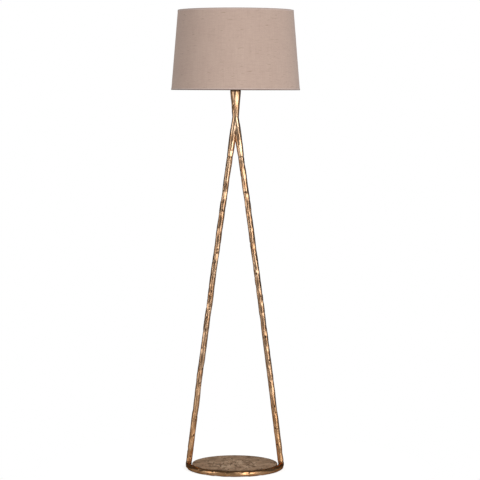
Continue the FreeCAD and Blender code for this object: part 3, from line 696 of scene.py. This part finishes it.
def gapShadeAt(place, outward):
    # painted shade: darker on the side that faces in towards the plate, most of all by the feet, where the
    # gap between hoop and plate lies in shadow
    inward = Vector((-place.x, -place.y, hoop["gapShadeLift"] * rods["hoopRadius"])).normalized()
    byFoot = smoothStep(*hoop["gapShadeSide"], abs(place.x) / rods["hoopRadius"])
    return smoothStep(*hoop["gapShadeInside"], outward.dot(inward)) * mix(hoop["gapShadeFront"], 1.0, byFoot)


def makeHoop():
    route = hoopRoute()
    length = routeLength(route)
    flats = hammerFlats(hoop["flatSeed"], length)
    notches = hammerNotches(hoop["notchSeed"], length, hoop["notches"])
    bm = forgeRod(route, flats, notches, False, hoop["bead"], hoop["gapShade"])
    return addPiece(bm, "forgedHoop", brassFinish, "stand", ["base_hoop"])


makeHoop()


# fork: the turned stem and its two stubs, run together in the forge

fork = {
    "voxel": 1.1 * mm, "skin": 8.2 * mm, "smoothRounds": 3, "top": 1340 * mm, "full": 1.04,
    "flatSeeds": {-1: 53, 0: 51, 1: 58}, "flatsOver": 0.25, "flatShare": 0.5, "driftShare": 0.4, "swell": 0.3,
    "fadeLow": 6 * mm, "fadeHigh": 4 * mm, "mouth": (1322 * mm, 1336 * mm),
    # the band at the stem's top is painted shadow from the shade
    "weld": (0.5 * mm, 2 * mm), "weldDark": 0.5, "shadowBand": (1325 * mm, 1332 * mm), "shadowBandDark": 0.9,
    "grooveHeight": 1184 * mm, "grooveReach": 9 * mm, "grooveSquash": 0.5, "grooveDark": 0.8,
    # height in mm, degrees from the front, length in mm, half width in radians and depth
    "notches": [(1273, -50, 5, 0.30, 0.17), (1266, -28, 4, 0.2, 0.08), (1280, -30, 4, 0.2, 0.07),
                (1257, 22, 6, 0.15, 0.05), (1322, -62, 5, 0.16, 0.07), (1318, 165, 6, 0.3, 0.12),
                (1290, 120, 5, 0.25, 0.1), (1210, 150, 6, 0.3, 0.12), (1150, -160, 5, 0.3, 0.12)],
}


def fusedCopy(node):
    # a merged copy of a node, remeshed in small voxels
    source = bmesh.new()
    source.from_mesh(node.data)
    bmesh.ops.remove_doubles(source, verts=source.verts, dist=0.002 * mm)
    mesh = bpy.data.meshes.new("forkCopy")
    source.to_mesh(mesh)
    source.free()
    copy = bpy.data.objects.new("forkCopy", mesh)
    scene.collection.objects.link(copy)
    fuse = copy.modifiers.new("fuse", "REMESH")
    fuse.mode = "VOXEL"
    fuse.voxel_size = fork["voxel"]
    fused = bpy.data.meshes.new_from_object(copy.evaluated_get(bpy.context.evaluated_depsgraph_get()))
    bm = bmesh.new()
    bm.from_mesh(fused)
    bpy.data.objects.remove(copy)
    bpy.data.meshes.remove(fused)
    return bm


def nearestAxis(point, heart, ways):
    # the nearest place on the axis of the stem or of the nearer stub, and the way up along it
    if point.z > heart.z:
        return Vector((0, 0, point.z)), upward
    feet = [heart + way * (point - heart).dot(way) for way in ways]
    axis, way = min(zip(feet, ways), key=lambda pair: (point - pair[0]).length)
    return axis, -way


def forkFlats(stemFoot):
    # the stem's flats and, for each side, the stub's
    lists = {side: hammerFlats(seed, fork["flatsOver"]) for side, seed in fork["flatSeeds"].items()}
    for flat in lists[-1] + lists[0] + lists[1]:
        flat["depth"] *= fork["flatShare"]
        flat["drift"] *= fork["driftShare"]
    stem = [flat for flat in lists[0] if flat["start"] + flat["length"] > stemFoot]
    return {side: stem + [flat for flat in lists[side] if flat["start"] + flat["length"] < stemFoot]
            for side in (-1, 1)}


def makeFork():
    bm = fusedCopy(frame["nodes"]["stem_yoke"])
    for _ in range(fork["smoothRounds"]):
        bmesh.ops.smooth_vert(bm, verts=bm.verts, factor=0.5,
                              use_axis_x=True, use_axis_y=True, use_axis_z=True)
    patina = bm.verts.layers.float.new("patina")
    heart = Vector((0, 0, rods["forkHeight"]))
    top = legTop()
    ways = [(Vector((side * top.x, 0, top.z)) - heart).normalized() for side in (-1, 1)]
    flats = forkFlats(heart.z - top.z)
    notches = [{"at": height * mm - top.z, "turn": math.radians(degrees), "long": long * mm, "wide": wide,
                "depth": depth} for height, degrees, long, wide, depth in fork["notches"]]
    for vert in bm.verts:
        point = vert.co.copy()
        axis, way = nearestAxis(point, heart, ways)
        arm = point - axis
        if arm.length < fork["skin"]:
            vert[patina] = 1.0
            continue
        face = (front - way * front.dot(way)).normalized()
        turn = math.atan2(arm.dot(way.cross(face)), arm.dot(face))
        at = point.z - top.z
        left, dark = forgedAt(at, turn, point, flats[1 if point.x > 0 else -1], notches, fork["swell"])
        fade = smoothStep(0, fork["fadeLow"], at) * smoothStep(0, fork["fadeHigh"], fork["top"] - point.z)
        left = mix(left, left * fork["full"], fade * (1 - smoothStep(*fork["mouth"], point.z)))
        vert.co = axis + arm * mix(1, left, fade)
        # brown in the weld at each end and in the crotch, and a painted shadow of the shade in a band at the
        # stem's top
        weld = fork["weldDark"] * (1 - smoothStep(*fork["weld"], at))
        shadowBand = fork["shadowBandDark"] * smoothStep(*fork["shadowBand"], point.z)
        away = math.hypot(point.x, fork["grooveSquash"] * (point.z - fork["grooveHeight"]))
        groove = fork["grooveDark"] * (1 - smoothStep(0, fork["grooveReach"], away))
        vert[patina] = max(dark * fade, weld, shadowBand, groove)
    bmesh.ops.recalc_face_normals(bm, faces=bm.faces)
    return addPiece(bm, "forgedFork", brassFinish, "stand", ["stem_yoke"])


makeFork()


# base plate: a disc whose upper face is beaten and pitted

plate = {
    "radius": 151.0 * mm, "bottom": 3.0 * mm, "top": 16.0 * mm, "edge": 1.4 * mm,
    "ringEvery": 1.5 * mm, "turns": 400, "edgeParts": 4, "sideParts": 7,
    "lowRings": (0.8, 0.5, 0.2, 0.0000001), "pole": 0.0001 * mm, "faceBand": 0.1 * mm,
    "beat": 0.5 * mm, "beatSize": 34 * mm, "bend": 6 * mm, "bendSize": 20 * mm,
    "worm": 0.8 * mm, "wormSize": 13 * mm, "wormWide": 0.2,
    "pit": 0.7 * mm, "pitSize": 9 * mm, "pitFrom": 0.2, "pitTo": 0.5, "fewPits": 0.35,
    "thickAt": 30 * mm, "thickRing": (30 * mm, 140 * mm), "thickMost": 0.25, "thickFall": 0.7,
    "thickSize": 26 * mm, "thickEdge": (-0.2, 0.3),
    "openDark": 0.36, "thickDark": 0.02, "wormDark": 0.7, "pitDark": 0.8, "beatDark": 0.3,
    "calm": 4 * mm, "settle": 0.5 * mm, "sideDent": 0.4 * mm, "sideDentSize": 14 * mm,
    "rimDark": 0.4, "sideShade": 0.75, "undersideShade": 0.8,
}


def beatenFace(x, y):
    # how far the beaten face rises, and how dark it is
    spot = Vector((x, y, 0))
    beat = noise.noise(spot / plate["beatSize"])
    fine = spot / plate["bendSize"]
    bent = spot + Vector((noise.noise(fine), noise.noise(fine + Vector((7, 0, 0))), 0)) * plate["bend"]
    worm = 1 - min(1, abs(noise.noise(bent / plate["wormSize"])) / plate["wormWide"])
    # the marks lie thickest in front of the middle
    away = math.hypot(x, y + plate["thickAt"])
    thick = plate["thickMost"] - plate["thickFall"] * smoothStep(*plate["thickRing"], away)
    thick += noise.noise(bent / plate["thickSize"] + Vector((3, 8, 1)))
    thick = smoothStep(*plate["thickEdge"], thick)
    worm *= thick
    pit = noise.noise(bent / plate["pitSize"] + Vector((0, 5, 3)))
    pit = smoothStep(plate["pitFrom"], plate["pitTo"], pit) * mix(plate["fewPits"], 1, thick)
    rise = plate["beat"] * beat - (plate["worm"] * worm * worm + plate["pit"] * pit)
    dark = mix(plate["openDark"], plate["thickDark"], thick) + plate["wormDark"] * worm \
        + plate["pitDark"] * pit - plate["beatDark"] * beat
    return rise, min(1, max(0, dark))


def plateOutline():
    # radius and height, from the middle of the upper face round the rim to the middle of the underside
    radius, edge = plate["radius"], plate["edge"]
    top, bottom = plate["top"], plate["bottom"]
    rings = round(radius / plate["ringEvery"])
    quarter = [math.pi / 2 * i / plate["edgeParts"] for i in range(1, plate["edgeParts"] + 1)]
    outline = [(plate["pole"], top)] + [((radius - edge) * i / rings, top) for i in range(1, rings + 1)]
    outline += [(radius - edge * (1 - math.sin(turn)), top - edge * (1 - math.cos(turn))) for turn in quarter]
    outline += [(radius, mix(top - edge, bottom + edge, i / plate["sideParts"]))
                for i in range(1, plate["sideParts"] + 1)]
    outline += [(radius - edge * (1 - math.cos(turn)), bottom + edge * (1 - math.sin(turn)))
                for turn in quarter]
    return outline + [(radius * share, bottom) for share in plate["lowRings"]]


def makePlate():
    bm = bmesh.new()
    patina = bm.verts.layers.float.new("patina")
    verts = [bm.verts.new((radius, 0, height)) for radius, height in plateOutline()]
    edges = [bm.edges.new(pair) for pair in zip(verts, verts[1:])]
    bmesh.ops.spin(bm, geom=verts + edges, cent=(0, 0, 0), axis=(0, 0, 1), angle=2 * math.pi,
                   steps=plate["turns"], use_merge=True, use_duplicate=False)
    bmesh.ops.remove_doubles(bm, verts=bm.verts, dist=0.01 * mm)
    bmesh.ops.recalc_face_normals(bm, faces=bm.faces)
    for vert in bm.verts:
        radius = math.hypot(vert.co.x, vert.co.y)
        if vert.co.z > plate["top"] - plate["faceBand"]:
            rise, dark = beatenFace(vert.co.x, vert.co.y)
            calm = smoothStep(0, plate["calm"], plate["radius"] - plate["edge"] - radius)
            vert.co.z += rise * calm - plate["settle"]
            vert[patina] = mix(plate["rimDark"], dark, calm)
        # below the face: painted shade, darker on the plate's side and darker still on its underside
        elif vert.co.z > plate["bottom"] + plate["faceBand"]:
            dent = noise.noise(vert.co / plate["sideDentSize"]) * plate["sideDent"]
            vert.co.x += vert.co.x / radius * dent
            vert.co.y += vert.co.y / radius * dent
            vert[patina] = plate["sideShade"]
        else:
            vert[patina] = plate["undersideShade"]
    return addPiece(bm, "beatenPlate", plateFinish, "stand", ["base_plate"])


makePlate()


# shade: linen drawn round a tapered drum, with a lap seam at the back and a rolled hem at both rims

shade = {
    "bottom": 1333.0 * mm, "height": 277.0 * mm, "lowRadius": 225.0 * mm, "highRadius": 202.0 * mm,
    "inset": 0.7 * mm, "cloth": 0.8 * mm, "play": 0.1 * mm, "columns": 300, "rows": 44,
    "ease": 0.25 * mm, "easeSize": 70 * mm, "easeRadius": 200 * mm, "easeCalm": 15 * mm,
    "hemHeight": 6.0 * mm, "seamWide": 11 * mm, "seamThick": 0.5 * mm, "seamInset": 0.65 * mm,
    "seamColumns": 6, "seamRows": 60,
}
shade["top"] = shade["bottom"] + shade["height"]
shade["slope"] = (shade["highRadius"] - shade["lowRadius"]) / shade["height"]
shade["meanRadius"] = (shade["lowRadius"] + shade["highRadius"]) / 2


def wallRadius(height, inset):
    return shade["lowRadius"] + shade["slope"] * (height - shade["bottom"]) - inset


def clothMap(bm, riseAt):
    # weave map in metres: round the shade, and up its wall
    layer = bm.loops.layers.uv.new("weave")
    for face in bm.faces:
        turns = [math.atan2(loop.vert.co.x, -loop.vert.co.y) for loop in face.loops]
        for loop, turn in zip(face.loops, turns):
            if max(turns) - min(turns) > math.pi and turn < 0:
                turn += 2 * math.pi
            loop[layer].uv = (turn * shade["meanRadius"], riseAt(loop.vert.co))


def faceOutward(bm):
    # an open sheet's faces, turned away from the middle of the shade
    bmesh.ops.recalc_face_normals(bm, faces=bm.faces)
    middle = upward * (shade["bottom"] + shade["height"] / 2)
    face = next(iter(bm.faces))
    if face.normal.dot(face.calc_center_median() - middle) < 0:
        bmesh.ops.reverse_faces(bm, faces=bm.faces)


def makeCover():
    bm = bmesh.new()
    bmesh.ops.create_grid(bm, x_segments=shade["columns"], y_segments=shade["rows"], size=0.5)
    low, high = shade["bottom"] + shade["inset"], shade["top"] - shade["inset"]
    for vert in bm.verts:
        column = round((vert.co.x + 0.5) * shade["columns"]) % shade["columns"]
        turn = 2 * math.pi * column / shade["columns"]
        height = mix(low, high, vert.co.y + 0.5)
        calm = smoothStep(0, shade["easeCalm"], min(height - low, high - height))
        around = Vector((math.sin(turn), -math.cos(turn), 0))
        ripple = noise.noise((around + upward * height) * (shade["easeRadius"] / shade["easeSize"]))
        radius = wallRadius(height, shade["inset"] + shade["play"]) + shade["ease"] * ripple * calm
        vert.co = around * radius + upward * height
    bmesh.ops.remove_doubles(bm, verts=bm.verts, dist=0.001 * mm)
    faceOutward(bm)
    bmesh.ops.solidify(bm, geom=bm.faces[:], thickness=shade["cloth"] - 2 * shade["play"])
    clothMap(bm, lambda co: co.z)
    return addPiece(bm, "linenCover", linenFinish, "shade", ["shade_cover"])


hem = {
    # section of the tape: inset from the wall and distance from the rim, both in mm
    "section": ((0.75, 6.0), (0.35, 6.05), (0.08, 5.7), (0.0, 5.0), (0.0, 3.4), (0.12, 2.5), (0.05, 1.7),
                (0.0, 1.1), (0.25, 0.5), (0.75, 0.12), (1.5, 0.0), (3.2, 0.0), (4.6, 0.15), (5.5, 0.7),
                (5.95, 1.6), (6.05, 2.6), (5.9, 4.2), (5.9, 5.7), (5.5, 6.0), (5.2, 5.6), (5.2, 3.2),
                (4.6, 1.4), (3.2, 0.8), (1.4, 0.8), (0.75, 1.4)),
    "pucker": 0.1 * mm, "puckerSize": 9 * mm, "puckerRadius": 200 * mm,
    "edgeShadeReach": (1.8 * mm, 3 * mm), "lowEdgeShade": 0.65, "highEdgeShade": 0.35,
}


def makeHem(name, node, edge, direction, edgeShade):
    # a tape over the cloth's edge, rolled round the rim wire
    bm = bmesh.new()
    patina = bm.verts.layers.float.new("patina")
    verts = []
    for inset, rise in hem["section"]:
        height = edge + direction * rise * mm
        verts.append(bm.verts.new((wallRadius(height, inset * mm), 0, height)))
    edges = [bm.edges.new(pair) for pair in zip(verts, verts[1:] + verts[:1])]
    bmesh.ops.spin(bm, geom=verts + edges, cent=(0, 0, 0), axis=(0, 0, 1), angle=2 * math.pi,
                   steps=shade["columns"], use_merge=True, use_duplicate=False)
    bmesh.ops.remove_doubles(bm, verts=bm.verts, dist=0.001 * mm)
    for vert in bm.verts:
        pucker = noise.noise(Vector((vert.co.x, vert.co.y, 0)) / hem["puckerSize"]) * hem["pucker"]
        vert.co.x *= 1 - abs(pucker) / hem["puckerRadius"]
        vert.co.y *= 1 - abs(pucker) / hem["puckerRadius"]
        # painted shade along the rolled edge
        vert[patina] = edgeShade * (1 - smoothStep(*hem["edgeShadeReach"], abs(vert.co.z - edge)))
    bmesh.ops.recalc_face_normals(bm, faces=bm.faces)
    clothMap(bm, lambda co: co.z + math.hypot(co.x, co.y))
    return addPiece(bm, name, litHemLinen, "shade", [node])


def makeSeam():
    # the cloth's outer end, lapped over its inner end at the back
    bm = bmesh.new()
    bmesh.ops.create_grid(bm, x_segments=shade["seamColumns"], y_segments=shade["seamRows"], size=0.5)
    low, high = shade["bottom"] + shade["hemHeight"], shade["top"] - shade["hemHeight"]
    for vert in bm.verts:
        height = mix(low, high, vert.co.y + 0.5)
        radius = wallRadius(height, shade["seamInset"])
        turn = math.pi + vert.co.x * shade["seamWide"] / radius
        vert.co = Vector((math.sin(turn), -math.cos(turn), 0)) * radius + upward * height
    faceOutward(bm)
    bmesh.ops.solidify(bm, geom=bm.faces[:], thickness=-shade["seamThick"])
    bmesh.ops.recalc_face_normals(bm, faces=bm.faces)
    clothMap(bm, lambda co: co.z)
    return addPiece(bm, "lapSeam", linenFinish, "shade")


cover = makeCover()
lowHem = makeHem("lowHem", "shade_bottom_hem", shade["bottom"], 1, hem["lowEdgeShade"])
highHem = makeHem("highHem", "shade_top_hem", shade["top"], -1, hem["highEdgeShade"])
seam = makeSeam()
